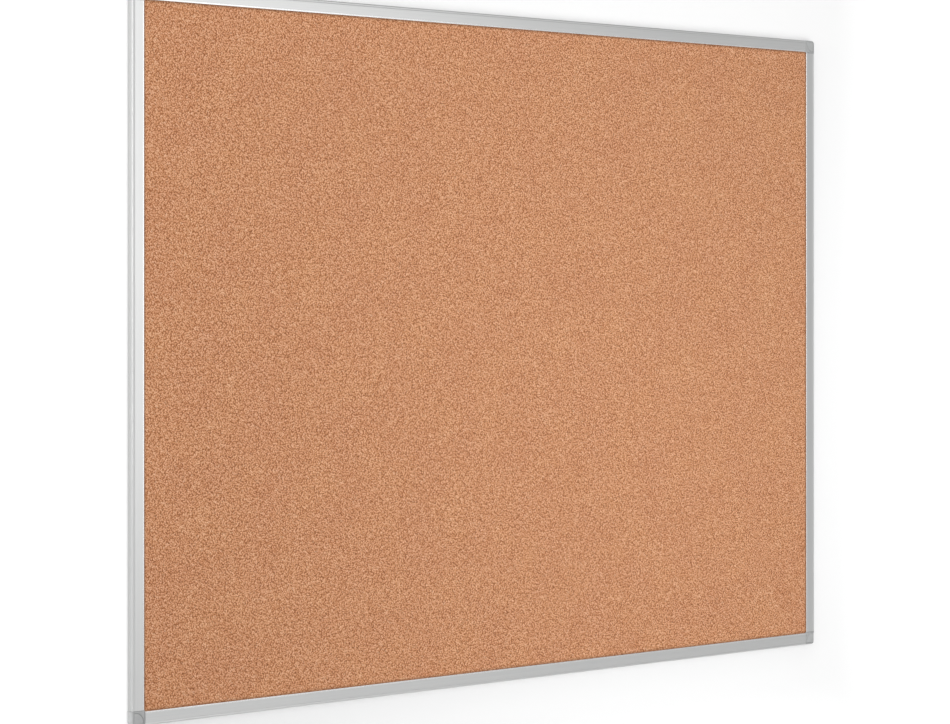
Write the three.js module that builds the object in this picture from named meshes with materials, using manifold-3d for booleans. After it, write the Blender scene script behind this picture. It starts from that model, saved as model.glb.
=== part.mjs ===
// Cork notice board: cork on a softboard core, in a slim aluminium frame with moulded corner pieces.
// A wall screw goes through each corner piece, under a quarter-round cover that swings aside on a pin.
//
// Millimetres. The board is drawn lying on its back: x to the right, y up the board, z from the wall to
// the front. The last lines stand it up, so that z is up and the cork looks along -y. A corner is drawn
// from its outer corner, and each of the other three is the same moulding, a quarter turn further on.

import * as THREE from 'three';
import { mergeVertices } from 'three/addons/utils/BufferGeometryUtils.js';
import Module from 'manifold-3d';

// Whole board
const boardWidth = 1200;
const boardHeight = 900;
const frameDepth = 10.5;

// Rail extrusion: a chamber for the corner legs, and a slot for the board between two flanges
const railFaceWidth = 17.5;
const railWall = 1.2;
const railEdgeRadius = 2;
const railChamberWidth = 6.4;
const railRearFlangeWidth = 13;
const railEndGap = 0.3;

// The rail's lip, which closes on the cork, and the fine shadow line beside its rounded outer edge
const lipWidth = 2;
const lipDrop = 0.3;
const lipRadius = 0.7;
const grooveMargin = 0.6;
const grooveWidth = 1.4;
const grooveDepth = 0.35;

// Board panel. The lips press into the cork, so that its margin is a little thinner than the rest.
const corkMarginThickness = 1.8;
const corkNip = 0.35;
const corkFieldClearance = 0.8;
const backSheetThickness = 0.4;
const glueLine = 0.1;
const panelClearance = 0.1;
const panelEdgeClearance = 0.5;

// Corner moulding
const cornerOverhang = 1;
const cornerPlanRadius = 5;
const cornerWall = 1.6;
const cornerChamfer = 0.6;
const cornerRibThickness = 1.2;
const cornerRibSetback = 1;
const cornerBodyStep = 0.6;
const cornerStepClearance = 0.3;

// Legs of the corner moulding
const legLength = 38;
const legClearance = 0.3;
const legWall = 1.3;
const legTaper = 0.4;
const legTaperLength = 3;
const legPocketInset = 2;
const legScrewBlockLength = 7;
const legScrewShare = 0.58;

// Seat of the wall screw in the corner moulding
const wallScrewHoleRadius = 2.25;
const wallScrewPocketRadius = 4.1;
const wallScrewPocketDepth = 4.6;
const wallScrewBossWall = 1.4;
const wallScrewMargin = 0.2;

// Screw cover and its snap pin
const coverThickness = 1.6;
const coverSideInset = 2.7;
const coverGap = 0.4;
const coverUnderGap = 0.2;
const coverRimWidth = 1.7;
const coverEdgeBevel = 0.4;
const coverHubMargin = 0.3;
const pinRadius = 1;
const pinClearance = 0.25;
const pinEndPlay = 0.3;
const snapCatch = 0.3;
const snapHeadLength = 0.9;
const snapTipLength = 0.9;
const snapTipRadius = 0.6;
const snapSlotWidth = 0.5;

// Small screws that hold the rails to the legs
const screwShankRadius = 1.35;
const screwHeadRadius = 2.5;
const screwHeadHeight = 1.15;
const screwHeadSink = 0.1;
const screwClearance = 0.2;
const screwTipLength = 2;
const screwTipCover = 0.9;
const screwDriveSpan = 2.6;
const screwDriveWidth = 0.6;
const screwDriveDepth = 0.7;

// Tools that cut run this far past the face they cut
const cutOverrun = 1;

// Fineness of round stretches, in steps
const smallArcSteps = 4;
const coverArcSteps = 8;
const recessArcSteps = 16;
const roundSteps = 24;
const screwSteps = 16;

const quarterTurn = Math.PI / 2;

// Sizes that follow from the ones above
const flangeUnderside = frameDepth - railWall;
const lipUnderside = flangeUnderside - lipDrop;
const webInnerFace = railWall + railChamberWidth + railWall;
const chamberMiddle = railWall + railChamberWidth / 2;
const panelInset = webInnerFace + panelEdgeClearance;
const corkMarginFront = lipUnderside - panelClearance;
const corkFront = corkMarginFront + corkNip;
const corkBack = corkMarginFront - corkMarginThickness;
const backSheetBack = railWall + panelClearance;
const coreFront = corkBack - glueLine;
const coreBack = backSheetBack + backSheetThickness + glueLine;
const cornerSide = railFaceWidth + cornerOverhang;
const cornerBodySide = cornerSide - cornerBodyStep;
const panelNotchInset = cornerBodySide + cornerStepClearance;
const fieldInset = railFaceWidth + corkFieldClearance;
const fieldNotchInset = cornerSide + corkFieldClearance;
const recessFloor = frameDepth - coverThickness - coverUnderGap;
const recessFloorBack = recessFloor - cornerWall;
const coverHubRadius = pinRadius + coverHubMargin;
const pivotInset = coverSideInset + coverHubRadius;
const coverRadius = cornerSide - pivotInset - coverRimWidth - coverGap;
const recessRadius = coverRadius + coverGap;
const pinHoleRadius = pinRadius + pinClearance;
const wallScrewInset = pivotInset + coverHubRadius + wallScrewPocketRadius + wallScrewMargin;
const wallScrewBossRadius = wallScrewPocketRadius + wallScrewBossWall;
const legNear = railWall + legClearance;
const legFront = flangeUnderside - legClearance;
const legFar = railWall + railChamberWidth - legClearance;
const legScrewPlace = legLength * legScrewShare;
const screwTip = legFront - screwTipCover;

// Sides and corners in the order in which a quarter turn to the left takes them
const sideNames = ['bottom', 'right', 'top', 'left'];
const cornerNames = ['bottom_left', 'bottom_right', 'top_right', 'top_left'];

const wasm = await Module();
wasm.setup();

const cork = new THREE.MeshStandardMaterial({ color: '#c68e6c', roughness: 0.95, metalness: 0 });
const softboard = new THREE.MeshStandardMaterial({ color: '#9b8466', roughness: 0.95, metalness: 0 });
const backingPaper = new THREE.MeshStandardMaterial({ color: '#b6a68c', roughness: 0.9, metalness: 0 });
const aluminium = new THREE.MeshStandardMaterial({ color: '#c6c8c9', roughness: 0.35, metalness: 1 });
const greyPlastic = new THREE.MeshStandardMaterial({ color: '#aeb0b1', roughness: 0.45, metalness: 0 });
const zincSteel = new THREE.MeshStandardMaterial({ color: '#bfc0bd', roughness: 0.35, metalness: 1 });

// A closed geometry as a solid that can be cut and joined.
function solidOf(geometry) {
  const bare = geometry.clone();
  bare.deleteAttribute('normal');
  bare.deleteAttribute('uv');
  const merged = mergeVertices(bare);
  return new wasm.Manifold(new wasm.Mesh({
    numProp: 3,
    vertProperties: merged.attributes.position.array,
    triVerts: new Uint32Array(merged.index.array),
  }));
}

// A solid as a geometry, for a mesh.
function geometryOf(solid) {
  const { numProp, vertProperties, triVerts } = solid.getMesh();
  const geometry = new THREE.BufferGeometry();
  geometry.setAttribute('position', new THREE.BufferAttribute(vertProperties, numProp));
  geometry.setIndex(new THREE.BufferAttribute(triVerts, 1));
  return geometry;
}

function pieceOf(name, solid, material) {
  const flat = geometryOf(solid).toNonIndexed();
  flat.computeVertexNormals();
  const piece = new THREE.Mesh(flat, material);
  piece.name = name;
  return piece;
}

// A plan outline raised from one height to another.
function raised(outline, low, high, arcSteps = smallArcSteps) {
  const geometry = new THREE.ExtrudeGeometry(outline, {
    depth: high - low,
    bevelEnabled: false,
    curveSegments: arcSteps,
  });
  return solidOf(geometry.translate(0, 0, low));
}

// A section that stands on the plan, raised to a length before it is laid down.
function lengthOf(section, length, settings) {
  return new THREE.ExtrudeGeometry(section, { depth: length, bevelEnabled: false, ...settings });
}

// A section, drawn as distance in from the outer edge and height, run along x.
function runAlongX(section, from, to, settings) {
  const along = new THREE.Matrix4().makeBasis(
    new THREE.Vector3(0, 1, 0),
    new THREE.Vector3(0, 0, 1),
    new THREE.Vector3(1, 0, 0),
  );
  return solidOf(lengthOf(section, to - from, settings).applyMatrix4(along).translate(from, 0, 0));
}

// The same section run along y, so that its outer edge lies on the y axis.
function runAlongY(section, from, to, settings) {
  const along = new THREE.Matrix4().makeBasis(
    new THREE.Vector3(1, 0, 0),
    new THREE.Vector3(0, 0, 1),
    new THREE.Vector3(0, -1, 0),
  );
  return solidOf(lengthOf(section, to - from, settings).applyMatrix4(along).translate(0, to, 0));
}

// A block between two corners.
function block(low, high) {
  const size = high.map((value, axis) => value - low[axis]);
  const middle = high.map((value, axis) => (value + low[axis]) / 2);
  return solidOf(new THREE.BoxGeometry(...size).translate(...middle));
}

// A round solid that stands on the plan at x, y. Its profile is a list of [radius, height].
function turned(profile, x, y, steps) {
  const points = profile.map(([radius, height]) => new THREE.Vector2(radius, height));
  const geometry = new THREE.LatheGeometry(points, steps);
  return solidOf(geometry.rotateX(quarterTurn).translate(x, y, 0));
}

function cylinder(radius, low, high, x, y, steps = roundSteps) {
  return turned([[0, low], [radius, low], [radius, high], [0, high]], x, y, steps);
}

// Rails

function railSection() {
  const grooveNear = railEdgeRadius + grooveMargin;
  const section = new THREE.Shape();
  section.moveTo(0, 0);
  section.lineTo(railRearFlangeWidth, 0);
  section.lineTo(railRearFlangeWidth, railWall);
  section.lineTo(webInnerFace, railWall);
  section.lineTo(webInnerFace, flangeUnderside);
  section.lineTo(railFaceWidth - lipWidth, flangeUnderside);
  section.lineTo(railFaceWidth - lipWidth, lipUnderside);
  section.lineTo(railFaceWidth, lipUnderside);
  section.absarc(railFaceWidth - lipRadius, frameDepth - lipRadius, lipRadius, 0, quarterTurn);
  section.lineTo(grooveNear + grooveWidth, frameDepth);
  section.lineTo(grooveNear + grooveWidth / 2, frameDepth - grooveDepth);
  section.lineTo(grooveNear, frameDepth);
  section.absarc(railEdgeRadius, frameDepth - railEdgeRadius, railEdgeRadius, quarterTurn, 2 * quarterTurn);
  section.closePath();
  section.holes.push(chamberOutline(0));
  return section;
}

// The rail's chamber, drawn in by a clearance for the leg that fits it.
function chamberOutline(clearance) {
  const low = railWall + clearance;
  const high = flangeUnderside - clearance;
  const far = railWall + railChamberWidth - clearance;
  const bend = railEdgeRadius - low;
  const outline = new THREE.Path();
  outline.moveTo(low, low);
  outline.lineTo(far, low);
  outline.lineTo(far, high);
  outline.absarc(railEdgeRadius, frameDepth - railEdgeRadius, bend, quarterTurn, 2 * quarterTurn);
  outline.closePath();
  return outline;
}

// The countersunk hole through a rail's rear flange, wider than its screw by the clearance.
function flangeHole(x, y) {
  const mouth = screwHeadRadius + screwHeadSink + screwClearance;
  const neck = screwShankRadius + screwClearance;
  return turned([
    [0, -cutOverrun],
    [mouth, -cutOverrun],
    [mouth, 0],
    [neck, railWall],
    [neck, railWall + cutOverrun],
    [0, railWall + cutOverrun],
  ], x, y, screwSteps);
}

function rail(length) {
  let solid = runAlongX(railSection(), 0, length, { curveSegments: smallArcSteps });
  const hole = legScrewPlace - railEndGap;
  for (const place of [hole, length - hole]) {
    solid = solid.subtract(flangeHole(place, chamberMiddle));
  }
  return solid;
}

// Board panel

// A rectangle set in from the board's edge, with a square notch at each corner for the mouldings.
function notchedOutline(inset, notchInset) {
  const edgeX = boardWidth / 2 - inset;
  const edgeY = boardHeight / 2 - inset;
  const notchX = boardWidth / 2 - notchInset;
  const notchY = boardHeight / 2 - notchInset;
  const lowerHalf = [
    [-edgeX, -notchY],
    [-notchX, -notchY],
    [-notchX, -edgeY],
    [notchX, -edgeY],
    [notchX, -notchY],
    [edgeX, -notchY],
  ];
  const upperHalf = lowerHalf.map(([x, y]) => [-x, -y]);
  return new THREE.Shape([...lowerHalf, ...upperHalf].map(([x, y]) => new THREE.Vector2(x, y)));
}

// Corner moulding, drawn from its outer corner with its legs along x and y

// Where the side of the moulding meets the front, it is rounded as the rails are.
function mouldingSection() {
  const section = new THREE.Shape();
  section.moveTo(0, 0);
  section.lineTo(cornerSide, 0);
  section.lineTo(cornerSide, frameDepth);
  section.absarc(railEdgeRadius, frameDepth - railEdgeRadius, railEdgeRadius, quarterTurn, 2 * quarterTurn);
  section.closePath();
  return section;
}

// The outside of the moulding, square in plan with one corner rounded.
function mouldingOutside() {
  const settings = { curveSegments: smallArcSteps };
  const roundedCorner = [[0, 0], [cornerPlanRadius, 0], [cornerPlanRadius, frameDepth - railEdgeRadius]];
  for (let step = 1; step <= 2 * smallArcSteps; step += 1) {
    const angle = quarterTurn * step / (2 * smallArcSteps);
    roundedCorner.push([
      cornerPlanRadius - railEdgeRadius + railEdgeRadius * Math.cos(angle),
      frameDepth - railEdgeRadius + railEdgeRadius * Math.sin(angle),
    ]);
  }
  roundedCorner.push([0, frameDepth]);
  return runAlongX(mouldingSection(), cornerPlanRadius, cornerSide, settings)
    .add(runAlongY(mouldingSection(), cornerPlanRadius, cornerSide, settings))
    .add(turned(roundedCorner, cornerPlanRadius, cornerPlanRadius, 2 * roundSteps));
}

// Below the cork's face the moulding steps back, so that the panel's notch stays hidden under it.
function panelSteps() {
  const stepStart = panelInset - cornerStepClearance;
  const far = cornerSide + cutOverrun;
  const besideX = block([cornerBodySide, stepStart, -cutOverrun], [far, far, lipUnderside]);
  const besideY = block([stepStart, cornerBodySide, -cutOverrun], [far, far, lipUnderside]);
  return besideX.add(besideY);
}

// The chamfers of the moulding's two inner front edges, which part it from the rails by a fine line.
function innerChamfers() {
  const section = new THREE.Shape();
  section.moveTo(cornerSide - cornerChamfer, frameDepth);
  section.lineTo(cornerSide + cutOverrun, frameDepth - cornerChamfer - cutOverrun);
  section.lineTo(cornerSide + cutOverrun, frameDepth + cutOverrun);
  section.lineTo(cornerSide - cornerChamfer, frameDepth + cutOverrun);
  section.closePath();
  const far = cornerSide + cutOverrun;
  return runAlongX(section, -cutOverrun, far).add(runAlongY(section, -cutOverrun, far));
}

// The hollow behind the moulding, open at the back. The wall screw's boss and two ribs stand in it.
function mouldingHollow() {
  const inside = cornerBodySide - cornerWall;
  const innerRadius = cornerPlanRadius - cornerWall;
  const outline = new THREE.Shape();
  outline.moveTo(inside, cornerWall);
  outline.lineTo(inside, inside);
  outline.lineTo(cornerWall, inside);
  outline.absarc(cornerPlanRadius, cornerPlanRadius, innerRadius, 2 * quarterTurn, 3 * quarterTurn);
  outline.closePath();
  const ribLow = wallScrewInset - cornerRibThickness / 2;
  const ribHigh = wallScrewInset + cornerRibThickness / 2;
  const ribAlongX = block([0, ribLow, cornerRibSetback], [cornerSide, ribHigh, frameDepth]);
  const ribAlongY = block([ribLow, 0, cornerRibSetback], [ribHigh, cornerSide, frameDepth]);
  const boss = cylinder(wallScrewBossRadius, -2 * cutOverrun, frameDepth, wallScrewInset, wallScrewInset);
  return raised(outline, -cutOverrun, recessFloorBack)
    .subtract(ribAlongX)
    .subtract(ribAlongY)
    .subtract(boss);
}

// The land between the cover's arc and the board is cored out from behind, to keep an even wall.
function landCore() {
  const inside = cornerBodySide - cornerWall;
  const radius = recessRadius + cornerWall;
  const angle = Math.acos((inside - pivotInset) / radius);
  const outline = new THREE.Shape();
  outline.moveTo(inside, inside);
  outline.absarc(pivotInset, pivotInset, radius, quarterTurn - angle, angle, true);
  outline.closePath();
  return raised(outline, recessFloorBack - cutOverrun, frameDepth - cornerWall);
}

// The cover's recess: round the pivot, with a straight wall beside one outer edge that stops the cover
// at rest and again when it is open. It runs out through the other outer edge, where the cover swings.
function coverRecess() {
  const wall = coverHubRadius + coverGap;
  const angle = Math.acos(-wall / recessRadius);
  const outline = new THREE.Shape();
  outline.absarc(pivotInset, pivotInset, recessRadius, -angle, angle);
  outline.closePath();
  return raised(outline, recessFloor, frameDepth + cutOverrun, recessArcSteps);
}

// The wall screw's hole, with the pocket that takes its head.
function wallScrewSeat() {
  const pocketFloor = recessFloor - wallScrewPocketDepth;
  return turned([
    [0, -cutOverrun],
    [wallScrewHoleRadius, -cutOverrun],
    [wallScrewHoleRadius, pocketFloor],
    [wallScrewPocketRadius, pocketFloor],
    [wallScrewPocketRadius, recessFloor + cutOverrun],
    [0, recessFloor + cutOverrun],
  ], wallScrewInset, wallScrewInset, roundSteps);
}

// One leg, with a tapered tip. It starts inside the moulding, and the hollow trims its root.
function leg(run) {
  const root = cornerBodySide - cornerWall;
  const section = new THREE.Shape(chamberOutline(legClearance).getPoints(smallArcSteps));
  return run(section, root, cornerSide + legLength - legTaperLength, {
    bevelEnabled: true,
    bevelSegments: 1,
    bevelThickness: legTaperLength,
    bevelSize: legTaper,
    bevelOffset: -legTaper,
  });
}

// Two pockets lighten a leg from behind, on either side of the block that takes its screw.
function legPockets(swap) {
  const nearBlock = cornerSide + legScrewPlace - legScrewBlockLength / 2;
  const farBlock = cornerSide + legScrewPlace + legScrewBlockLength / 2;
  const tip = cornerSide + legLength - legTaperLength;
  const pockets = [[cornerSide + legPocketInset, nearBlock], [farBlock, tip]];
  return pockets.map(([from, to]) => {
    const low = swap([from, legNear + legWall]);
    const high = swap([to, legFar - legWall]);
    return block([...low, legNear - cutOverrun], [...high, legFront - legWall]);
  });
}

// The hole in a leg for its screw, a little longer and wider than the screw.
function legScrewHole(swap) {
  const [x, y] = swap([cornerSide + legScrewPlace, chamberMiddle]);
  const radius = screwShankRadius + screwClearance;
  return cylinder(radius, legNear - cutOverrun, screwTip + screwClearance, x, y, screwSteps);
}

function cornerMoulding() {
  const alongX = (place) => place;
  const alongY = ([along, across]) => [across, along];
  let solid = mouldingOutside()
    .subtract(panelSteps())
    .subtract(innerChamfers())
    .add(leg(runAlongX))
    .add(leg(runAlongY))
    .subtract(mouldingHollow())
    .subtract(landCore())
    .subtract(coverRecess())
    .subtract(wallScrewSeat())
    .subtract(cylinder(pinHoleRadius, 0, frameDepth, pivotInset, pivotInset));
  for (const swap of [alongX, alongY]) {
    for (const pocket of legPockets(swap)) solid = solid.subtract(pocket);
    solid = solid.subtract(legScrewHole(swap));
  }
  return solid;
}

// Screw cover, drawn round its pivot

// A quarter disc, set out past the pivot by the hub's radius on its two straight sides.
function coverOutline() {
  const spread = Math.asin(coverHubRadius / coverRadius);
  const outline = new THREE.Shape();
  outline.absarc(0, 0, coverRadius, -spread, quarterTurn + spread);
  outline.absarc(0, 0, coverHubRadius, 2 * quarterTurn, 3 * quarterTurn);
  outline.closePath();
  return outline;
}

// The pin under the cover goes through the floor of the recess and snaps in behind it.
function snapPin() {
  const headTop = recessFloorBack - pinEndPlay;
  const headBottom = headTop - snapHeadLength;
  const tip = headBottom - snapTipLength;
  const snapRadius = pinHoleRadius + snapCatch;
  const pin = turned([
    [0, tip],
    [snapTipRadius, tip],
    [snapRadius, headBottom],
    [snapRadius, headTop],
    [pinRadius, headTop],
    [pinRadius, frameDepth - coverThickness / 2],
    [0, frameDepth - coverThickness / 2],
  ], 0, 0, screwSteps);
  const slot = block(
    [-snapSlotWidth / 2, -snapRadius - cutOverrun, tip - cutOverrun],
    [snapSlotWidth / 2, snapRadius + cutOverrun, recessFloor],
  );
  return pin.subtract(slot);
}

function screwCover() {
  const plate = new THREE.ExtrudeGeometry(coverOutline(), {
    depth: coverThickness - 2 * coverEdgeBevel,
    bevelThickness: coverEdgeBevel,
    bevelSize: coverEdgeBevel,
    bevelOffset: -coverEdgeBevel,
    bevelSegments: 2,
    curveSegments: coverArcSteps,
  });
  return solidOf(plate.translate(0, 0, frameDepth - coverThickness + coverEdgeBevel)).add(snapPin());
}

// Rail screws: countersunk, with a cross recess, driven in from behind

function railScrew() {
  const head = screwHeadSink;
  const neck = screwHeadSink + screwHeadHeight;
  const body = turned([
    [0, head],
    [screwHeadRadius, head],
    [screwShankRadius, neck],
    [screwShankRadius, screwTip - screwTipLength],
    [0, screwTip],
  ], 0, 0, screwSteps);
  const half = screwDriveSpan / 2;
  const halfWidth = screwDriveWidth / 2;
  const bottom = head + screwDriveDepth;
  const across = block([-half, -halfWidth, head - cutOverrun], [half, halfWidth, bottom]);
  const up = block([-halfWidth, -half, head - cutOverrun], [halfWidth, half, bottom]);
  return body.subtract(across).subtract(up);
}

// Assembly

// A group with its origin at one corner of the board and its x along the side that starts there.
function groupAtCorner(board, turns) {
  const [along, across] = turns % 2 === 0 ? [boardWidth, boardHeight] : [boardHeight, boardWidth];
  const turnedSide = new THREE.Group();
  turnedSide.rotation.z = turns * quarterTurn;
  board.add(turnedSide);
  const corner = new THREE.Group();
  corner.position.set(-along / 2, -across / 2, 0);
  turnedSide.add(corner);
  return corner;
}

// The cork, its core and the backing share one outline. The cork's field, which shows inside the
// frame, stands a little proud of the margin that the lips press down.
function addPanel(board) {
  const outline = notchedOutline(panelInset, panelNotchInset);
  const field = notchedOutline(fieldInset, fieldNotchInset);
  const backSheetFront = backSheetBack + backSheetThickness;
  const corkSolid = raised(outline, corkBack, corkMarginFront).add(raised(field, corkBack, corkFront));
  board.add(pieceOf('cork_sheet', corkSolid, cork));
  board.add(pieceOf('core_board', raised(outline, coreBack, coreFront), softboard));
  board.add(pieceOf('back_sheet', raised(outline, backSheetBack, backSheetFront), backingPaper));
}

function addRails(board) {
  const start = cornerSide + railEndGap;
  sideNames.forEach((side, turns) => {
    const span = turns % 2 === 0 ? boardWidth : boardHeight;
    const piece = pieceOf(`${side}_rail`, rail(span - 2 * start), aluminium);
    piece.position.x = start;
    groupAtCorner(board, turns).add(piece);
  });
}

function addCorners(board) {
  const moulding = cornerMoulding();
  const cover = screwCover();
  const screw = railScrew();
  const along = cornerSide + legScrewPlace;
  cornerNames.forEach((corner, turns) => {
    const place = groupAtCorner(board, turns);
    place.add(pieceOf(`corner_${corner}`, moulding, greyPlastic));
    const lid = pieceOf(`screw_cover_${corner}`, cover, greyPlastic);
    lid.position.set(pivotInset, pivotInset, 0);
    place.add(lid);
    const screwPlaces = [
      [sideNames[turns], along, chamberMiddle],
      [sideNames.at(turns - 1), chamberMiddle, along],
    ];
    for (const [side, x, y] of screwPlaces) {
      const end = corner.split('_').find((word) => word !== side);
      const fastener = pieceOf(`${side}_rail_screw_${end}`, screw, zincSteel);
      fastener.position.set(x, y, 0);
      place.add(fastener);
    }
  });
}

const corkBoard = new THREE.Group();
addPanel(corkBoard);
addRails(corkBoard);
addCorners(corkBoard);
corkBoard.rotation.x = quarterTurn;

export default corkBoard;
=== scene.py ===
"""A cork notice board in a satin aluminium frame with moulded plastic corners, seen from its left.

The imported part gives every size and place: metres, x to the right, z up, the wall plane at y = 0
and the cork facing -y. The pieces that are made here are drawn in millimetres as the part is drawn,
on their backs: x along, y across, z from the wall to the front. They are stood up when they are
finished.
"""

import math

import bmesh
import bpy
from mathutils import Matrix, Vector


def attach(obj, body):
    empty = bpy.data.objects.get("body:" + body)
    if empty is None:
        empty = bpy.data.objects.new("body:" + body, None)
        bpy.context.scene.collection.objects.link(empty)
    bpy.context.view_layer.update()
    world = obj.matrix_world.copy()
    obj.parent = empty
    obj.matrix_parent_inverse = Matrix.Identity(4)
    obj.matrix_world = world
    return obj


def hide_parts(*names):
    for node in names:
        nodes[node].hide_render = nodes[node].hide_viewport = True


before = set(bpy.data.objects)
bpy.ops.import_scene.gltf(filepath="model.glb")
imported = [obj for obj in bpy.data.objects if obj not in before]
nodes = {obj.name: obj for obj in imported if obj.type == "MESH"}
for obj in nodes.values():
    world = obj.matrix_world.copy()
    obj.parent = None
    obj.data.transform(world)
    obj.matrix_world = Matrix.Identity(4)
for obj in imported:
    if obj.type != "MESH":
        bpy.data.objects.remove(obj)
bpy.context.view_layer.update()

MM = 0.001
SIDES = ("bottom", "right", "top", "left")
CORNERS = ("bottom_left", "bottom_right", "top_right", "top_left")

# Sizes of the pieces, in millimetres, as the part has them, with the rounded edges that are added
BOARD_WIDTH, BOARD_HEIGHT, DEPTH = 1200, 900, 10.5

# The rails: their section, the radii of its corners, and where their screws go in
FACE, WALL, CHAMBER, REAR_FLANGE, RAIL_END = 17.5, 1.2, 6.4, 13, 18.8
EDGE_RADIUS, BACK_RADIUS, SMALL_RADIUS = 2, 0.8, 0.3
LIP, LIP_RADIUS, LIP_UNDERSIDE = 2, 0.7, 9.0
GROOVE, GROOVE_WIDTH, GROOVE_DEPTH = 2.6, 1.4, 0.35
LEG_SCREW, SCREW_MOUTH, SCREW_NECK = 40.54, 2.8, 1.55

# The cork: its levels, and how far inside the board's outline its field and its margin end, along
# the sides and in the notch at each corner
CORK_BACK, CORK_MARGIN, CORK_FRONT = 7.1, 8.9, 9.25
FIELD_INSET, FIELD_NOTCH, FIELD_EDGE = 18.3, 19.3, 0.3
MARGIN_INSET, MARGIN_NOTCH = 9.3, 18.2

# The screw covers, and the snap pins with slit heads under them
COVER_RADIUS, COVER_HUB, COVER_THICKNESS, COVER_EDGE = 12.4, 1.3, 1.6, 0.45
COVER_PIVOT, RECESS_FLOOR = 4.0, 8.7
PIN_RADIUS, PIN_HEAD, PIN_TIP, PIN_SLIT = 1, 1.55, 0.6, 0.5
PIN_HEAD_TOP, PIN_HEAD_LENGTH, PIN_TIP_LENGTH = 6.8, 0.9, 0.9

# The moulded corners' eased edges
MOULDED_EDGE = 0.12

# How many steps round forms are drawn with
CORNER_STEPS, TURN_STEPS, COVER_STEPS, HUB_STEPS, EDGE_STEPS, SWEEP_STEPS = 8, 32, 128, 10, 4, 12

# Angles between two faces, in degrees: from where their edge shows sharp, from where it is eased on
# a moulding, and up to where they count as one flat face
SHARP_ANGLE, EASED_ANGLE, FLAT_ANGLE = 32, 40, 0.5

# Points closer than this, in millimetres, are one point
MERGED = 0.001

# Camera: a long lens, level with the upper middle of the board, standing to its left. The picture's
# middle is dropped below the horizon by a shift, so that the uprights stay upright.
LENS = 102.77
HEADING = math.radians(39.79)
CAMERA_PLACE = (-2.382, -2.7985, 0.085)
CAMERA_SHIFT = -0.0806
CAMERA_REACH = 100


def make_camera():
    camera = bpy.data.objects.new("camera", bpy.data.cameras.new("camera"))
    camera.data.lens = LENS
    camera.data.shift_y = CAMERA_SHIFT
    camera.data.clip_end = CAMERA_REACH
    camera.location = CAMERA_PLACE
    camera.rotation_euler = (math.pi / 2, 0, -HEADING)
    bpy.context.scene.collection.objects.link(camera)
    bpy.context.scene.camera = camera


make_camera()


# Materials


def linear(colour):
    """A colour written as an sRGB hex value, as linear light."""
    parts = [int(colour[i : i + 2], 16) / 255 for i in (1, 3, 5)]
    return [p / 12.92 if p <= 0.04045 else ((p + 0.055) / 1.055) ** 2.4 for p in parts] + [1]


def per_metre(size):
    """The scale of a pattern whose cells are this many millimetres across."""
    return 1 / (size * MM)


def add_node(tree, kind, inputs=None, stops=(), **settings):
    """Adds a node. An input is a plain value, a socket to link, or a node, whose first output in
    use is linked. A ramp's stops are places from 0 to 1, each with its hex colour."""
    node = tree.nodes.new("ShaderNode" + kind)
    for name, value in settings.items():
        setattr(node, name, value)
    for name, value in (inputs or {}).items():
        if isinstance(value, bpy.types.Node):
            value = next(output for output in value.outputs if output.enabled)
        if isinstance(value, bpy.types.NodeSocket):
            tree.links.new(value, node.inputs[name])
        else:
            node.inputs[name].default_value = value
    for number, (position, colour) in enumerate(stops):
        elements = node.color_ramp.elements
        element = elements[number] if number < 2 else elements.new(position)
        element.position, element.color = position, linear(colour)
    return node


# A Mix node's inputs go by number, because its names are shared by several kinds of value: the
# second one's share, the two colours, and the two plain values
SHARE, UNDER, OVER, LOWER, UPPER = 0, 6, 7, 2, 3

# A noise pattern's values run from 0 to 1, but nearly all lie between these two
NOISE_LOW, NOISE_HIGH = 0.3, 0.7
FROM_NOISE = {"From Min": NOISE_LOW, "From Max": NOISE_HIGH}


def tones(dark, light):
    """A ramp's stops, which spread two colours over the values of a noise pattern."""
    return [(NOISE_LOW, dark), (NOISE_HIGH, light)]


def new_material(name):
    """An empty material, its nodes, and the place on the board that its pattern is laid by."""
    material = bpy.data.materials.new(name)
    material.use_nodes = True
    tree = material.node_tree
    tree.nodes.clear()
    return material, tree, add_node(tree, "TexCoord").outputs["Object"]


def finish_surface(tree, inputs):
    """The material's one shader, with what it is given, as the surface."""
    add_node(tree, "OutputMaterial", {"Surface": add_node(tree, "BsdfPrincipled", inputs)})


def past_outline(tree, place, inset):
    """How far a place lies outside the board's outline, drawn in by this many millimetres."""
    away = add_node(tree, "VectorMath", {0: place}, operation="ABSOLUTE")
    away = add_node(tree, "SeparateXYZ", {"Vector": away})
    past_side = {0: away.outputs["X"], 1: (BOARD_WIDTH / 2 - inset) * MM}
    past_side = add_node(tree, "Math", past_side, operation="SUBTRACT")
    past_end = {0: away.outputs["Z"], 1: (BOARD_HEIGHT / 2 - inset) * MM}
    past_end = add_node(tree, "Math", past_end, operation="SUBTRACT")
    return add_node(tree, "Math", {0: past_side, 1: past_end}, operation="MAXIMUM")


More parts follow.
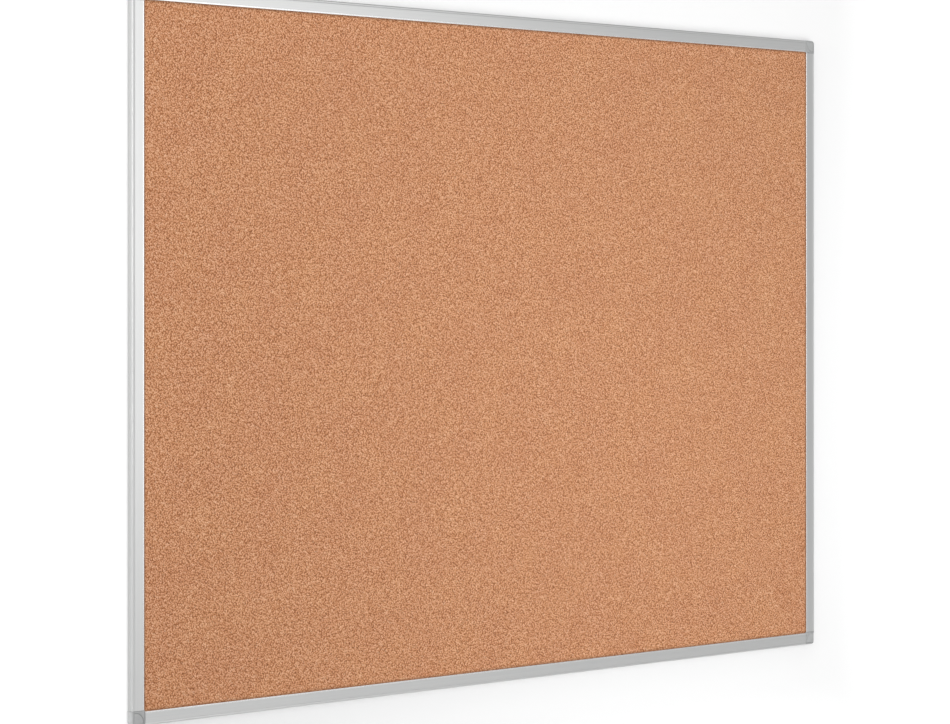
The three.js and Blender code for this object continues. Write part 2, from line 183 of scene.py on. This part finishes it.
def pressed_cork():
    """Agglomerated cork, fine grain, sanded. Granules of 1 to 3 mm, each of its own tan, lie close
    together with dark joints, and with specks of bark and pale cut ones among them. It is quite
    matt, with a painted shade along its edge where the lips overhang it. Cork dust and granules
    under 1 mm are too fine to show, and are left out."""
    material, tree, place = new_material("pressed_cork")

    # Across in millimetres: granules, the waves that make their outlines ragged, and how far these
    # push them, the chips that tint them, and the sheet's faint clouds
    granule, wave, push, chip, cloud = 2.1, 1.1, 1.4, 1.3, 60

    # The granules lie askew, so that no row of them follows the frame
    askew = (-math.pi / 2, 0, 0.6)
    face = add_node(tree, "Mapping", {"Vector": place, "Rotation": askew})
    ragged = add_node(tree, "TexNoise", {"Vector": place, "Scale": per_metre(wave)})
    ragged = {0: ragged.outputs["Color"], 1: (push * MM, push * MM, 0), 2: face}
    ragged = add_node(tree, "VectorMath", ragged, operation="MULTIPLY_ADD")
    granules = {"Vector": ragged, "Scale": per_metre(granule), "Randomness": 0.92}
    granules = add_node(tree, "TexVoronoi", granules, voronoi_dimensions="2D")
    tans = add_node(tree, "SeparateColor", {"Color": granules.outputs["Color"]})
    chips = add_node(tree, "TexVoronoi", {"Vector": place, "Scale": per_metre(chip)})
    tints = add_node(tree, "SeparateColor", {"Color": chips.outputs["Color"]})

    # A joint starts and is full at these distances from a granule's middle, in granules
    joint_starts, joint_full = 0.25, 0.7
    joints = {"Value": granules, "From Min": joint_starts, "From Max": joint_full}
    joints = add_node(tree, "MapRange", joints, interpolation_type="SMOOTHSTEP")

    # The tone drops in the joints, and rises by each granule's and each chip's own share
    middle_tone, joint_drop, granule_share, chip_share = 0.41, -0.59, 0.29, 0.35
    tone = {0: joints, 1: joint_drop, 2: middle_tone}
    tone = add_node(tree, "Math", tone, operation="MULTIPLY_ADD")
    tone = {0: tans.outputs["Red"], 1: granule_share, 2: tone}
    tone = add_node(tree, "Math", tone, operation="MULTIPLY_ADD")
    tone = {0: tints.outputs["Red"], 1: chip_share, 2: tone}
    tone = add_node(tree, "Math", tone, operation="MULTIPLY_ADD")
    tan = add_node(tree, "ValToRGB", {"Fac": tone}, [
        (0.0, "#8e5530"),
        (0.2, "#b27046"),
        (0.5, "#cb8c61"),
        (0.8, "#e0ab86"),
        (1.0, "#eec7a8"),
    ])

    # About one chip in twenty is bark
    bark = {"Value": tints.outputs["Blue"], "From Min": 0.94, "From Max": 0.97, "To Max": 0.4}
    bark = {SHARE: add_node(tree, "MapRange", bark), UNDER: tan, OVER: linear("#6a3f27")}
    tan = add_node(tree, "Mix", bark, data_type="RGBA")
    clouds = add_node(tree, "TexNoise", {"Vector": place, "Scale": per_metre(cloud)})
    clouds = add_node(tree, "ValToRGB", {"Fac": clouds}, tones("#fbf8f7", "#fffffb"))
    clouds = {SHARE: 1.0, UNDER: tan, OVER: clouds}
    tan = add_node(tree, "Mix", clouds, data_type="RGBA", blend_type="MULTIPLY")

    # Where the painted shade along the lips' edge starts and where it is full, in millimetres past
    # the lips' inner edge
    lip_shade_starts, lip_shade_full = -3.6, -0.9
    lip_shade = {"From Min": lip_shade_starts * MM, "From Max": lip_shade_full * MM, "To Max": 0.38}
    lip_shade = add_node(tree, "MapRange", {"Value": past_outline(tree, place, FACE), **lip_shade})
    # Painted shade: the cork turns towards a dark brown along the lips' edge
    lip_shade = {SHARE: lip_shade, UNDER: tan, OVER: linear("#6f4a30")}
    tan = add_node(tree, "Mix", lip_shade, data_type="RGBA")
    relief = {"Height": joints, "Distance": 0.08 * MM, "Strength": 0.4}
    relief = add_node(tree, "Bump", relief, invert=True)
    finish_surface(tree, {"Base Color": tan, "Roughness": 0.9, "Normal": relief})
    return material


def anodised_aluminium(name, line_cells):
    """An extrusion, satin anodised: neutral silver, with faint lines along it from the die, and an
    even silky blur to what it mirrors."""
    material, tree, place = new_material(name)
    cells = [per_metre(size) for size in line_cells]
    along = add_node(tree, "Mapping", {"Vector": place, "Scale": cells})
    lines = add_node(tree, "TexNoise", {"Vector": along, "Scale": 1.0, "Detail": 3.0})
    clouds = add_node(tree, "TexNoise", {"Vector": place, "Scale": per_metre(220)})
    shade = add_node(tree, "Mix", {SHARE: 0.3, LOWER: lines, UPPER: clouds}, data_type="FLOAT")
    silver = add_node(tree, "ValToRGB", {"Fac": shade}, tones("#cfd0d0", "#d9d9d8"))
    blur = {"Value": lines, **FROM_NOISE, "To Min": 0.33, "To Max": 0.39}
    blur = add_node(tree, "MapRange", blur)
    relief = add_node(tree, "Bump", {"Height": lines, "Distance": 0.004 * MM})
    metal = {"Base Color": silver, "Metallic": 1.0, "Roughness": blur, "Normal": relief}
    finish_surface(tree, metal)
    return material


def lip_painted_highlight():
    """The rail's lip: the same silver, but paler, a painted highlight along the frame's inner edge,
    and shinier."""
    material, tree, place = new_material("lip_painted_highlight")
    streaks = add_node(tree, "TexNoise", {"Vector": place, "Scale": per_metre(40)})
    silver = add_node(tree, "ValToRGB", {"Fac": streaks}, tones("#e2e2e1", "#ececeb"))
    finish_surface(tree, {"Base Color": silver, "Metallic": 1.0, "Roughness": 0.26})
    return material


def moulded_abs(name, dark, light):
    """Injection-moulded ABS in aluminium grey, from a mould with a fine spark-eroded texture: matt,
    with a soft gleam on its rounded edges. The real texture is too fine to show, and is drawn with
    grains of 0.5 mm."""
    material, tree, place = new_material(name)
    grain = add_node(tree, "TexNoise", {"Vector": place, "Scale": per_metre(0.5)})
    flow = add_node(tree, "TexNoise", {"Vector": place, "Scale": per_metre(9)})
    grey = add_node(tree, "ValToRGB", {"Fac": flow}, tones(dark, light))
    gleam = {"Value": grain, **FROM_NOISE, "To Min": 0.36, "To Max": 0.48}
    gleam = add_node(tree, "MapRange", gleam)
    relief = add_node(tree, "Bump", {"Height": grain, "Distance": 0.02 * MM})
    finish_surface(tree, {"Base Color": grey, "Roughness": gleam, "Normal": relief})
    return material


def softboard():
    """Soft fibreboard, sawn: short felted wood fibres, brown and quite matt. The fibres are drawn
    in tufts of 4 by 0.6 mm, because single ones are too fine to show."""
    material, tree, place = new_material("softboard")
    cells = [per_metre(size) for size in (4, 0.6, 4)]
    felt = add_node(tree, "Mapping", {"Vector": place, "Scale": cells})
    fibres = add_node(tree, "TexNoise", {"Vector": felt, "Scale": 1.0, "Detail": 3.0})
    brown = add_node(tree, "ValToRGB", {"Fac": fibres}, tones("#8a704f", "#b89b74"))
    relief = add_node(tree, "Bump", {"Height": fibres, "Distance": 0.3 * MM, "Strength": 0.7})
    finish_surface(tree, {"Base Color": brown, "Roughness": 0.95, "Normal": relief})
    return material


def kraft_paper():
    """Unbleached kraft paper, machine-made: tan, with fine fibres along the roll, darker flecks,
    and the slight cockles of a sheet that was glued wet. The fibres are drawn 1 mm wide and 3.5 mm
    long, because single ones are too fine to show."""
    material, tree, place = new_material("kraft_paper")
    cells = [per_metre(size) for size in (1.0, 6, 3.5)]
    roll = add_node(tree, "Mapping", {"Vector": place, "Scale": cells})
    fibres = add_node(tree, "TexNoise", {"Vector": roll, "Scale": 1.0, "Detail": 4.0})
    clouds = {"Vector": place, "Scale": per_metre(16), "Detail": 5.0}
    clouds = add_node(tree, "TexNoise", clouds)
    shade = add_node(tree, "Mix", {SHARE: 0.4, LOWER: fibres, UPPER: clouds}, data_type="FLOAT")
    tan = add_node(tree, "ValToRGB", {"Fac": shade}, tones("#aa8e68", "#c1a67f"))

    # Only the peaks of a coarser pattern make flecks
    flecks = add_node(tree, "TexNoise", {"Vector": roll, "Scale": 0.8, "Detail": 2.0})
    flecks = {"Value": flecks, "From Min": 0.68, "From Max": 0.76, "To Max": 0.4}
    flecks = {SHARE: add_node(tree, "MapRange", flecks), UNDER: tan, OVER: linear("#7d6346")}
    tan = add_node(tree, "Mix", flecks, data_type="RGBA")
    cells = [per_metre(size) for size in (60, 160, 220)]
    sheet = add_node(tree, "Mapping", {"Vector": place, "Scale": cells})
    cockles = add_node(tree, "TexNoise", {"Vector": sheet, "Scale": 1.0})
    relief = add_node(tree, "Bump", {"Height": cockles, "Distance": 1.2 * MM, "Strength": 0.5})
    finish_surface(tree, {"Base Color": tan, "Roughness": 0.8, "Normal": relief})
    return material


def zinc_steel():
    """Steel screws, zinc-plated: bright grey with a faint cloudiness."""
    material, tree, place = new_material("zinc_steel")
    clouds = add_node(tree, "TexNoise", {"Vector": place, "Scale": per_metre(1.5)})
    zinc = add_node(tree, "ValToRGB", {"Fac": clouds}, tones("#b4b7b6", "#cfd0cc"))
    blur = {"Value": clouds, **FROM_NOISE, "To Min": 0.25, "To Max": 0.4}
    blur = add_node(tree, "MapRange", blur)
    finish_surface(tree, {"Base Color": zinc, "Metallic": 1.0, "Roughness": blur})
    return material


def dress(node, material):
    """Gives a node of the part its material."""
    mesh = nodes[node].data
    mesh.materials.clear()
    mesh.materials.append(material)


# Building


def bevel(shape, items, offset, segments, affect):
    bmesh.ops.bevel(
        shape,
        geom=items,
        offset=offset,
        segments=segments,
        profile=0.5,
        affect=affect,
        material=-1,
    )


def new_edges(shape, points, closed=True, steps=CORNER_STEPS):
    """A chain of edges through points of x, y, z. A fourth number rounds the corner by that
    radius."""
    places = [shape.verts.new(point[:3]) for point in points]
    pairs = zip(places, places[1:] + places[:1]) if closed else zip(places, places[1:])
    for pair in list(pairs):
        shape.edges.new(pair)
    for place, point in zip(places, points):
        if len(point) == 4:
            bevel(shape, [place], point[3], steps, "VERTICES")


def only(kind, found):
    return [item for item in found if isinstance(item, kind)]


def run_out(shape, way):
    """Fills an outline, with its holes, and runs it out to a solid."""
    edges = shape.edges[:]
    filled = bmesh.ops.triangle_fill(shape, use_beauty=True, use_dissolve=False, edges=edges)
    faces = only(bmesh.types.BMFace, filled["geom"])
    grown = bmesh.ops.extrude_face_region(shape, geom=faces)
    bmesh.ops.translate(shape, verts=only(bmesh.types.BMVert, grown["geom"]), vec=way)
    bmesh.ops.recalc_face_normals(shape, faces=shape.faces[:])


def turned(profile):
    """A round solid about the z axis, from a profile of radius and height that starts and ends on
    it."""
    shape = bmesh.new()
    new_edges(shape, [(radius, 0, height) for radius, height in profile], closed=False)
    bmesh.ops.spin(
        shape,
        geom=shape.verts[:] + shape.edges[:],
        cent=(0, 0, 0),
        axis=(0, 0, 1),
        angle=2 * math.pi,
        steps=TURN_STEPS,
        use_merge=True,
    )
    bmesh.ops.remove_doubles(shape, verts=shape.verts[:], dist=MERGED)
    bmesh.ops.recalc_face_normals(shape, faces=shape.faces[:])
    return shape


def mesh_of(shape, name):
    """A finished shape, as a mesh."""
    mesh = bpy.data.meshes.new(name)
    shape.to_mesh(mesh)
    shape.free()
    return mesh


def shape_of(mesh):
    """A mesh, as a shape to work on."""
    shape = bmesh.new()
    shape.from_mesh(mesh)
    return shape


def cut(mesh, tool, way="DIFFERENCE"):
    """The mesh, with the tool's shape cut out of it or joined to it."""
    body = bpy.data.objects.new("body", mesh)
    cutter = bpy.data.objects.new("cutter", mesh_of(tool, "cutter"))
    for thing in (body, cutter):
        bpy.context.scene.collection.objects.link(thing)
    boolean = body.modifiers.new("cut", "BOOLEAN")
    boolean.operation = way
    boolean.solver = "EXACT"
    boolean.object = cutter
    bpy.context.view_layer.update()
    finished = body.evaluated_get(bpy.context.evaluated_depsgraph_get())
    result = bpy.data.meshes.new_from_object(finished)
    for thing in (body, cutter):
        bpy.data.objects.remove(thing)
    return result


STAND_UP = Matrix.Rotation(math.pi / 2, 4, "X") @ Matrix.Scale(MM, 4)


def corner_place(turns):
    """Where the part's corner comes that is this many quarter turns on from the bottom left one."""
    level = turns % 2 == 0
    along, across = (BOARD_WIDTH, BOARD_HEIGHT) if level else (BOARD_HEIGHT, BOARD_WIDTH)
    turn = Matrix.Rotation(turns * math.pi / 2, 4, "Z")
    return STAND_UP @ turn @ Matrix.Translation((-along / 2, -across / 2, 0))


def put(name, mesh, place, materials, node, body):
    """Puts a mesh in its place as a piece that stands for a node of the part."""
    mesh.name = name
    mesh.transform(place)
    for material in materials:
        mesh.materials.append(material)
    mesh.shade_smooth()
    mesh.set_sharp_from_angle(angle=math.radians(SHARP_ANGLE))
    piece = bpy.data.objects.new(name, mesh)
    bpy.context.scene.collection.objects.link(piece)
    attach(piece, body)
    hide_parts(node)
    return piece


def rail_mesh(length):
    """One rail, lying along x with its outer edge on the x axis: its section runs from one end to
    the other, with the chamber for the corner legs, the slot for the board, and two countersunk
    holes."""
    shape = bmesh.new()
    flange, web = DEPTH - WALL, WALL + CHAMBER
    new_edges(shape, [
        (0, 0, 0, BACK_RADIUS),
        (0, REAR_FLANGE, 0, SMALL_RADIUS),
        (0, REAR_FLANGE, WALL),
        (0, web + WALL, WALL),
        (0, web + WALL, flange),
        (0, FACE - LIP, flange),
        (0, FACE - LIP, LIP_UNDERSIDE),
        (0, FACE, LIP_UNDERSIDE),
        (0, FACE, DEPTH, LIP_RADIUS),
        (0, FACE - LIP, DEPTH),
        (0, GROOVE + GROOVE_WIDTH, DEPTH, SMALL_RADIUS),
        (0, GROOVE + GROOVE_WIDTH / 2, DEPTH - GROOVE_DEPTH, SMALL_RADIUS),
        (0, GROOVE, DEPTH, SMALL_RADIUS),
        (0, 0, DEPTH, EDGE_RADIUS),
    ])
    new_edges(shape, [
        (0, WALL, WALL),
        (0, web, WALL),
        (0, web, flange),
        (0, WALL, flange, EDGE_RADIUS - WALL),
    ])
    run_out(shape, (length, 0, 0))
    mesh = mesh_of(shape, "rail")

    # The screw holes' cutter starts behind the rear flange, and ends inside the chamber
    outside, inside = -1, 2
    countersink = [
        (0, outside),
        (SCREW_MOUTH, outside),
        (SCREW_MOUTH, 0),
        (SCREW_NECK, WALL),
        (SCREW_NECK, inside),
        (0, inside),
    ]
    for place in (LEG_SCREW - RAIL_END, length - LEG_SCREW + RAIL_END):
        hole = turned(countersink)
        bmesh.ops.translate(hole, verts=hole.verts[:], vec=(place, WALL + CHAMBER / 2, 0))
        mesh = cut(mesh, hole)

    # The lip's front and edge get the paler silver of the painted highlight, but not its underside
    # and its sawn ends
    above_underside, facing_along = LIP_UNDERSIDE + 0.1, 0.5
    shape = shape_of(mesh)
    for face in shape.faces:
        middle = face.calc_center_median()
        on_lip = middle.y > FACE - LIP and middle.z > above_underside
        if on_lip and abs(face.normal.x) < facing_along:
            face.material_index = 1
    shape.to_mesh(mesh)
    shape.free()
    return mesh


def notched_outline(inset, notch_inset):
    """A rectangle drawn in from the board's edge, with a square notch at each corner."""
    x, y = BOARD_WIDTH / 2 - inset, BOARD_HEIGHT / 2 - inset
    notch_x, notch_y = BOARD_WIDTH / 2 - notch_inset, BOARD_HEIGHT / 2 - notch_inset
    half = [
        (-x, -notch_y),
        (-notch_x, -notch_y),
        (-notch_x, -y),
        (notch_x, -y),
        (notch_x, -notch_y),
        (x, -notch_y),
    ]
    return half + [(-u, -v) for u, v in half]


def cork_mesh():
    """The cork: its field stands a little proud of the margin that the lips press down, and rolls
    over to it at the edge."""
    shape = bmesh.new()
    loops = []
    for inset, notch_inset, height in (
        (FIELD_INSET, FIELD_NOTCH, CORK_FRONT),
        (FIELD_INSET, FIELD_NOTCH, CORK_MARGIN),
        (MARGIN_INSET, MARGIN_NOTCH, CORK_MARGIN),
        (MARGIN_INSET, MARGIN_NOTCH, CORK_BACK),
    ):
        before = set(shape.edges)
        new_edges(shape, [(x, y, height) for x, y in notched_outline(inset, notch_inset)])
        loops.append([edge for edge in shape.edges if edge not in before])
    bmesh.ops.contextual_create(shape, geom=loops[0])
    bmesh.ops.contextual_create(shape, geom=loops[-1])
    for upper, lower in zip(loops, loops[1:]):
        bmesh.ops.bridge_loops(shape, edges=upper + lower)
    bevel(shape, loops[0], FIELD_EDGE, EDGE_STEPS, "EDGES")
    bmesh.ops.recalc_face_normals(shape, faces=shape.faces[:])
    return mesh_of(shape, "cork")


def cover_mesh():
    """A screw cover, drawn round its pivot: a quarter of a disc with an eased edge, and under it
    the snap pin with its slit head."""
    shape = bmesh.new()
    bmesh.ops.create_circle(shape, cap_ends=True, radius=COVER_RADIUS, segments=COVER_STEPS)
    for side in ((1, 0, 0), (0, 1, 0)):
        bmesh.ops.bisect_plane(
            shape,
            geom=shape.verts[:] + shape.edges[:] + shape.faces[:],
            plane_co=Vector(side) * -COVER_HUB,
            plane_no=side,
            clear_inner=True,
        )
    # The cuts leave very short edges at the quarter's tips, over which the rim's bevel would fold
    too_short = 0.4
    bmesh.ops.remove_doubles(shape, verts=shape.verts[:], dist=too_short)
    hub = min(shape.verts, key=lambda vert: vert.co.x + vert.co.y)
    bevel(shape, [hub], COVER_HUB, HUB_STEPS, "VERTICES")
    bmesh.ops.translate(shape, verts=shape.verts[:], vec=(0, 0, DEPTH - COVER_THICKNESS))
    grown = bmesh.ops.extrude_face_region(shape, geom=shape.faces[:])
    raised = only(bmesh.types.BMVert, grown["geom"])
    bmesh.ops.translate(shape, verts=raised, vec=(0, 0, COVER_THICKNESS))
    bmesh.ops.recalc_face_normals(shape, faces=shape.faces[:])
    rim = [edge for edge in shape.edges if all(vert in raised for vert in edge.verts)]
    bevel(shape, rim, COVER_EDGE, EDGE_STEPS, "EDGES")
    plate = mesh_of(shape, "plate")

    # The pin runs from its tip to the middle of the plate's thickness, where the two are joined
    head_bottom = PIN_HEAD_TOP - PIN_HEAD_LENGTH
    tip, root = head_bottom - PIN_TIP_LENGTH, DEPTH - COVER_THICKNESS / 2
    pin = turned([
        (0, tip),
        (PIN_TIP, tip),
        (PIN_HEAD, head_bottom),
        (PIN_HEAD, PIN_HEAD_TOP),
        (PIN_RADIUS, PIN_HEAD_TOP),
        (PIN_RADIUS, root),
        (0, root),
    ])

    # The slit runs from the level of the recess's floor down past the tip, across the whole head
    across, down = 4, 6
    slit = bmesh.new()
    bmesh.ops.create_cube(slit, size=1)
    bmesh.ops.scale(slit, verts=slit.verts[:], vec=(PIN_SLIT, across, down))
    bmesh.ops.translate(slit, verts=slit.verts[:], vec=(0, 0, RECESS_FLOOR - down / 2))
    slit_pin = cut(mesh_of(pin, "pin"), slit)
    return cut(plate, shape_of(slit_pin), "UNION")


def copy_of(node):
    """A copy of a node's mesh, merged, with its flat faces made whole."""
    shape = shape_of(nodes[node].data)
    bmesh.ops.remove_doubles(shape, verts=shape.verts[:], dist=MERGED * MM)
    bmesh.ops.dissolve_limit(
        shape,
        angle_limit=math.radians(FLAT_ANGLE),
        verts=shape.verts[:],
        edges=shape.edges[:],
    )
    return mesh_of(shape, node)


def ease_edges(piece):
    """Rounds a moulding's sharp edges off a little, as its mould leaves them."""
    eased = piece.modifiers.new("eased_edges", "BEVEL")
    eased.width = MOULDED_EDGE * MM
    eased.segments = 2
    eased.limit_method = "ANGLE"
    eased.angle_limit = math.radians(EASED_ANGLE)
    eased.use_clamp_overlap = True


# The pieces

# The die's lines run along the rail. Real ones are too fine to show, and these are 0.45 mm apart.
LEVEL = anodised_aluminium("anodised_aluminium_level", (400, 0.45, 0.45))
UPRIGHT = anodised_aluminium("anodised_aluminium_upright", (0.45, 0.45, 400))
# The lip's paler silver is a painted highlight
LIP_HIGHLIGHT = lip_painted_highlight()

for turns, side in enumerate(SIDES):
    level = turns % 2 == 0
    length = (BOARD_WIDTH if level else BOARD_HEIGHT) - 2 * RAIL_END
    place = corner_place(turns) @ Matrix.Translation((RAIL_END, 0, 0))
    finish = [LEVEL if level else UPRIGHT, LIP_HIGHLIGHT]
    name, node = f"{side}_rail_extrusion", f"{side}_rail"
    put(name, rail_mesh(length), place, finish, node, "board")

put("cork_field", cork_mesh(), STAND_UP, [pressed_cork()], "cork_sheet", "board")
dress("core_board", softboard())
dress("back_sheet", kraft_paper())

ABS = moulded_abs("moulded_abs", "#a5a6a6", "#afb0b0")
ABS_COVER = moulded_abs("moulded_abs_cover", "#a7a8a8", "#b1b2b2")
ZINC = zinc_steel()
for turns, corner in enumerate(CORNERS):
    node = f"corner_{corner}"
    name = f"{node}_moulding"
    ease_edges(put(name, copy_of(node), Matrix(), [ABS], node, "board"))
    place = corner_place(turns) @ Matrix.Translation((COVER_PIVOT, COVER_PIVOT, 0))
    node, body = f"screw_cover_{corner}", f"cover_{corner}"
    put(f"{node}_plate", cover_mesh(), place, [ABS_COVER], node, body)
for node in [name for name in nodes if "rail_screw" in name]:
    put(f"{node}_zinc", copy_of(node), Matrix(), [ZINC], node, "board")


# Studio, in metres

# The backdrop: a wall just behind the board, and the floor that it sweeps down to
BACKDROP_WIDTH, BACKDROP_PLANE, BACKDROP_TOP = 9, 0.0015, 3.0
FLOOR, FLOOR_FRONT, FLOOR_MIDDLE, SWEEP_RADIUS = -1.45, -4.0, -1.0, 0.45


def backdrop():
    """A white wall close behind the board, which sweeps down into a pale floor. It is left out when
    it is looked at from behind, so that the back of the board can be seen."""
    shape = bmesh.new()
    left = -BACKDROP_WIDTH / 2
    profile = [
        (left, FLOOR_FRONT, FLOOR),
        (left, FLOOR_MIDDLE, FLOOR),
        (left, BACKDROP_PLANE, FLOOR, SWEEP_RADIUS),
        (left, BACKDROP_PLANE, BACKDROP_TOP),
    ]
    new_edges(shape, profile, closed=False, steps=SWEEP_STEPS)
    swept = bmesh.ops.extrude_edge_only(shape, edges=shape.edges[:])
    right = only(bmesh.types.BMVert, swept["geom"])
    bmesh.ops.translate(shape, verts=right, vec=(BACKDROP_WIDTH, 0, 0))
    return mesh_of(shape, "backdrop")


# How bright the wall glows of itself, as painted light: close round the board, further out, where
# it
# # is plain white, and in a mirror image, where it paints the frame's reflections of it brighter
NEAR_GLOW, FAR_GLOW, MIRRORED_GLOW = 0.2, 0.6, 0.25
# How far outside the board the first goes over into the second, in millimetres
GLOW_STARTS, GLOW_FULL = 60, 400
# To the left of the board it glows brighter again, as in the photograph: painted light that lifts
# the
# # board's shadow there, by this much between these places along x, in millimetres
LEFT_STARTS, LEFT_FULL, LEFT_GLOW = -592, -603, 0.3


def white_wall():
    """Matt white, with a glow of painted light. Close round the board the glow is weak, so that the
    board's soft shadow stays, and further out it is bright enough to look white. It sends no light
    to the board, so that it counts alike from the front and from behind, where it isn't seen."""
    material, tree, place = new_material("white_wall")
    path = add_node(tree, "LightPath")
    near = {"From Min": GLOW_STARTS * MM, "To Min": NEAR_GLOW}
    far = {"From Max": GLOW_FULL * MM, "To Max": FAR_GLOW}
    seen = {"Value": past_outline(tree, place, 0), **near, **far}
    seen = add_node(tree, "MapRange", seen)
    left = {"From Min": LEFT_STARTS * MM, "From Max": LEFT_FULL * MM, "To Max": LEFT_GLOW}
    left["Value"] = add_node(tree, "SeparateXYZ", {"Vector": place}).outputs["X"]
    left = add_node(tree, "MapRange", left)
    seen = add_node(tree, "Math", {0: seen, 1: left}, operation="ADD")
    seen = {0: seen, 1: path.outputs["Is Camera Ray"]}
    seen = add_node(tree, "Math", seen, operation="MULTIPLY")
    glow = {0: path.outputs["Is Glossy Ray"], 1: MIRRORED_GLOW, 2: seen}
    glow = add_node(tree, "Math", glow, operation="MULTIPLY_ADD")
    glow = add_node(tree, "Emission", {"Color": (1, 1, 1, 1), "Strength": glow})
    matt = add_node(tree, "BsdfDiffuse", {"Color": (0.8, 0.8, 0.8, 1)})
    front = add_node(tree, "AddShader", {0: matt, 1: glow})
    behind = add_node(tree, "NewGeometry").outputs["Backfacing"]
    surface = {0: behind, 1: front, 2: add_node(tree, "BsdfTransparent")}
    add_node(tree, "OutputMaterial", {"Surface": add_node(tree, "MixShader", surface)})
    return material


wall_mesh = backdrop()
wall_mesh.materials.append(white_wall())
wall = bpy.data.objects.new("backdrop", wall_mesh)
bpy.context.scene.collection.objects.link(wall)
wall.visible_diffuse = False
wall.visible_shadow = False


def softbox(name, place, aim, width, height, power):
    """A lamp with a flat bright face, of this width and height, and this many watts."""
    lamp = bpy.data.objects.new(name, bpy.data.lights.new(name, "AREA"))
    lamp.data.shape = "RECTANGLE"
    lamp.data.size = width
    lamp.data.size_y = height
    lamp.data.energy = power
    lamp.location = place
    lamp.rotation_euler = (Vector(aim) - Vector(place)).to_track_quat("-Z", "Y").to_euler()
    lamp.visible_camera = False
    bpy.context.scene.collection.objects.link(lamp)
    return lamp


# From above, from the front, where the left of the frame mirrors it, from the left, and from behind
# for the board's back
softbox("overhead", (-0.6, -0.9, 2.4), (0.1, 0, -0.1), 1.2, 0.6, 15)
softbox("sheen", (0.85, -2.8, 0.5), (-0.5, 0, 0.1), 1.8, 2.1, 11.5)
softbox("side", (-3.2, -1.4, 0.6), (-0.5, 0, 0.1), 1.6, 1.8, 23)
softbox("rear", (-1.5, 2.8, 1.6), (0, 0, 0), 1.8, 1.8, 20)
# For the right of the cork, and for the left side of the corners
fill = softbox("fill", (0.33, -1.24, -0.34), (0.49, 0, 0.23), 0.8, 0.8, 5.8)
edge = softbox("edge", (-3.0, 0.0, 0.0), (-0.6, 0, 0), 0.6, 1.8, 32)
# These two light matt surfaces alone, because their mirror images would glare in the frame
for lamp in (fill, edge):
    lamp.visible_glossy = False


# How bright the world is in front of the board, and behind it: in a mirror image, and as light
FRONT_MIRRORED, BACK_MIRRORED = 0.62, 1.0
FRONT_LIGHT, BACK_LIGHT = 0.5, 0.75
# Front and back run into each other over the directions whose y is within this of 0
BLEND = 0.3
# A mirror image falls off to this factor over the directions whose z goes from the first of these
# to the second, up or down
STEEP_STARTS, STEEP_FULL, STEEP_FACTOR = 0.3, 0.7, 0.45


def white_world():
    """White where it is seen, straight or in a reflection of what lies behind the board, and a
    softer light from the room in front."""
    world = bpy.data.worlds.new("studio")
    bpy.context.scene.world = world
    world.use_nodes = True
    tree = world.node_tree
    tree.nodes.clear()
    path = add_node(tree, "LightPath")
    way = add_node(tree, "TexCoord").outputs["Generated"]
    way = add_node(tree, "SeparateXYZ", {"Vector": way})
    back = {"Value": way.outputs["Y"], "From Min": -BLEND, "From Max": BLEND}
    mirrored = {**back, "To Min": FRONT_MIRRORED, "To Max": BACK_MIRRORED}
    mirrored = add_node(tree, "MapRange", mirrored)
    steep = add_node(tree, "Math", {0: way.outputs["Z"]}, operation="ABSOLUTE")
    steep = {"Value": steep, "From Min": STEEP_STARTS, "From Max": STEEP_FULL}
    steep = add_node(tree, "MapRange", {**steep, "To Min": 1.0, "To Max": STEEP_FACTOR})
    mirrored = add_node(tree, "Math", {0: mirrored, 1: steep}, operation="MULTIPLY")
    soft = add_node(tree, "MapRange", {**back, "To Min": FRONT_LIGHT, "To Max": BACK_LIGHT})
    glossy = {0: path.outputs["Is Glossy Ray"], 1: path.outputs["Is Transmission Ray"]}
    glossy = add_node(tree, "Math", glossy, operation="MAXIMUM")
    level = {SHARE: glossy, LOWER: soft, UPPER: mirrored}
    level = add_node(tree, "Mix", level, data_type="FLOAT")
    level = {SHARE: path.outputs["Is Camera Ray"], LOWER: level, UPPER: 1.0}
    level = add_node(tree, "Mix", level, data_type="FLOAT")
    sky = add_node(tree, "Background", {"Color": (1, 1, 1, 1), "Strength": level})
    add_node(tree, "OutputWorld", {"Surface": sky})


white_world()

bpy.context.scene.view_settings.view_transform = "Standard"
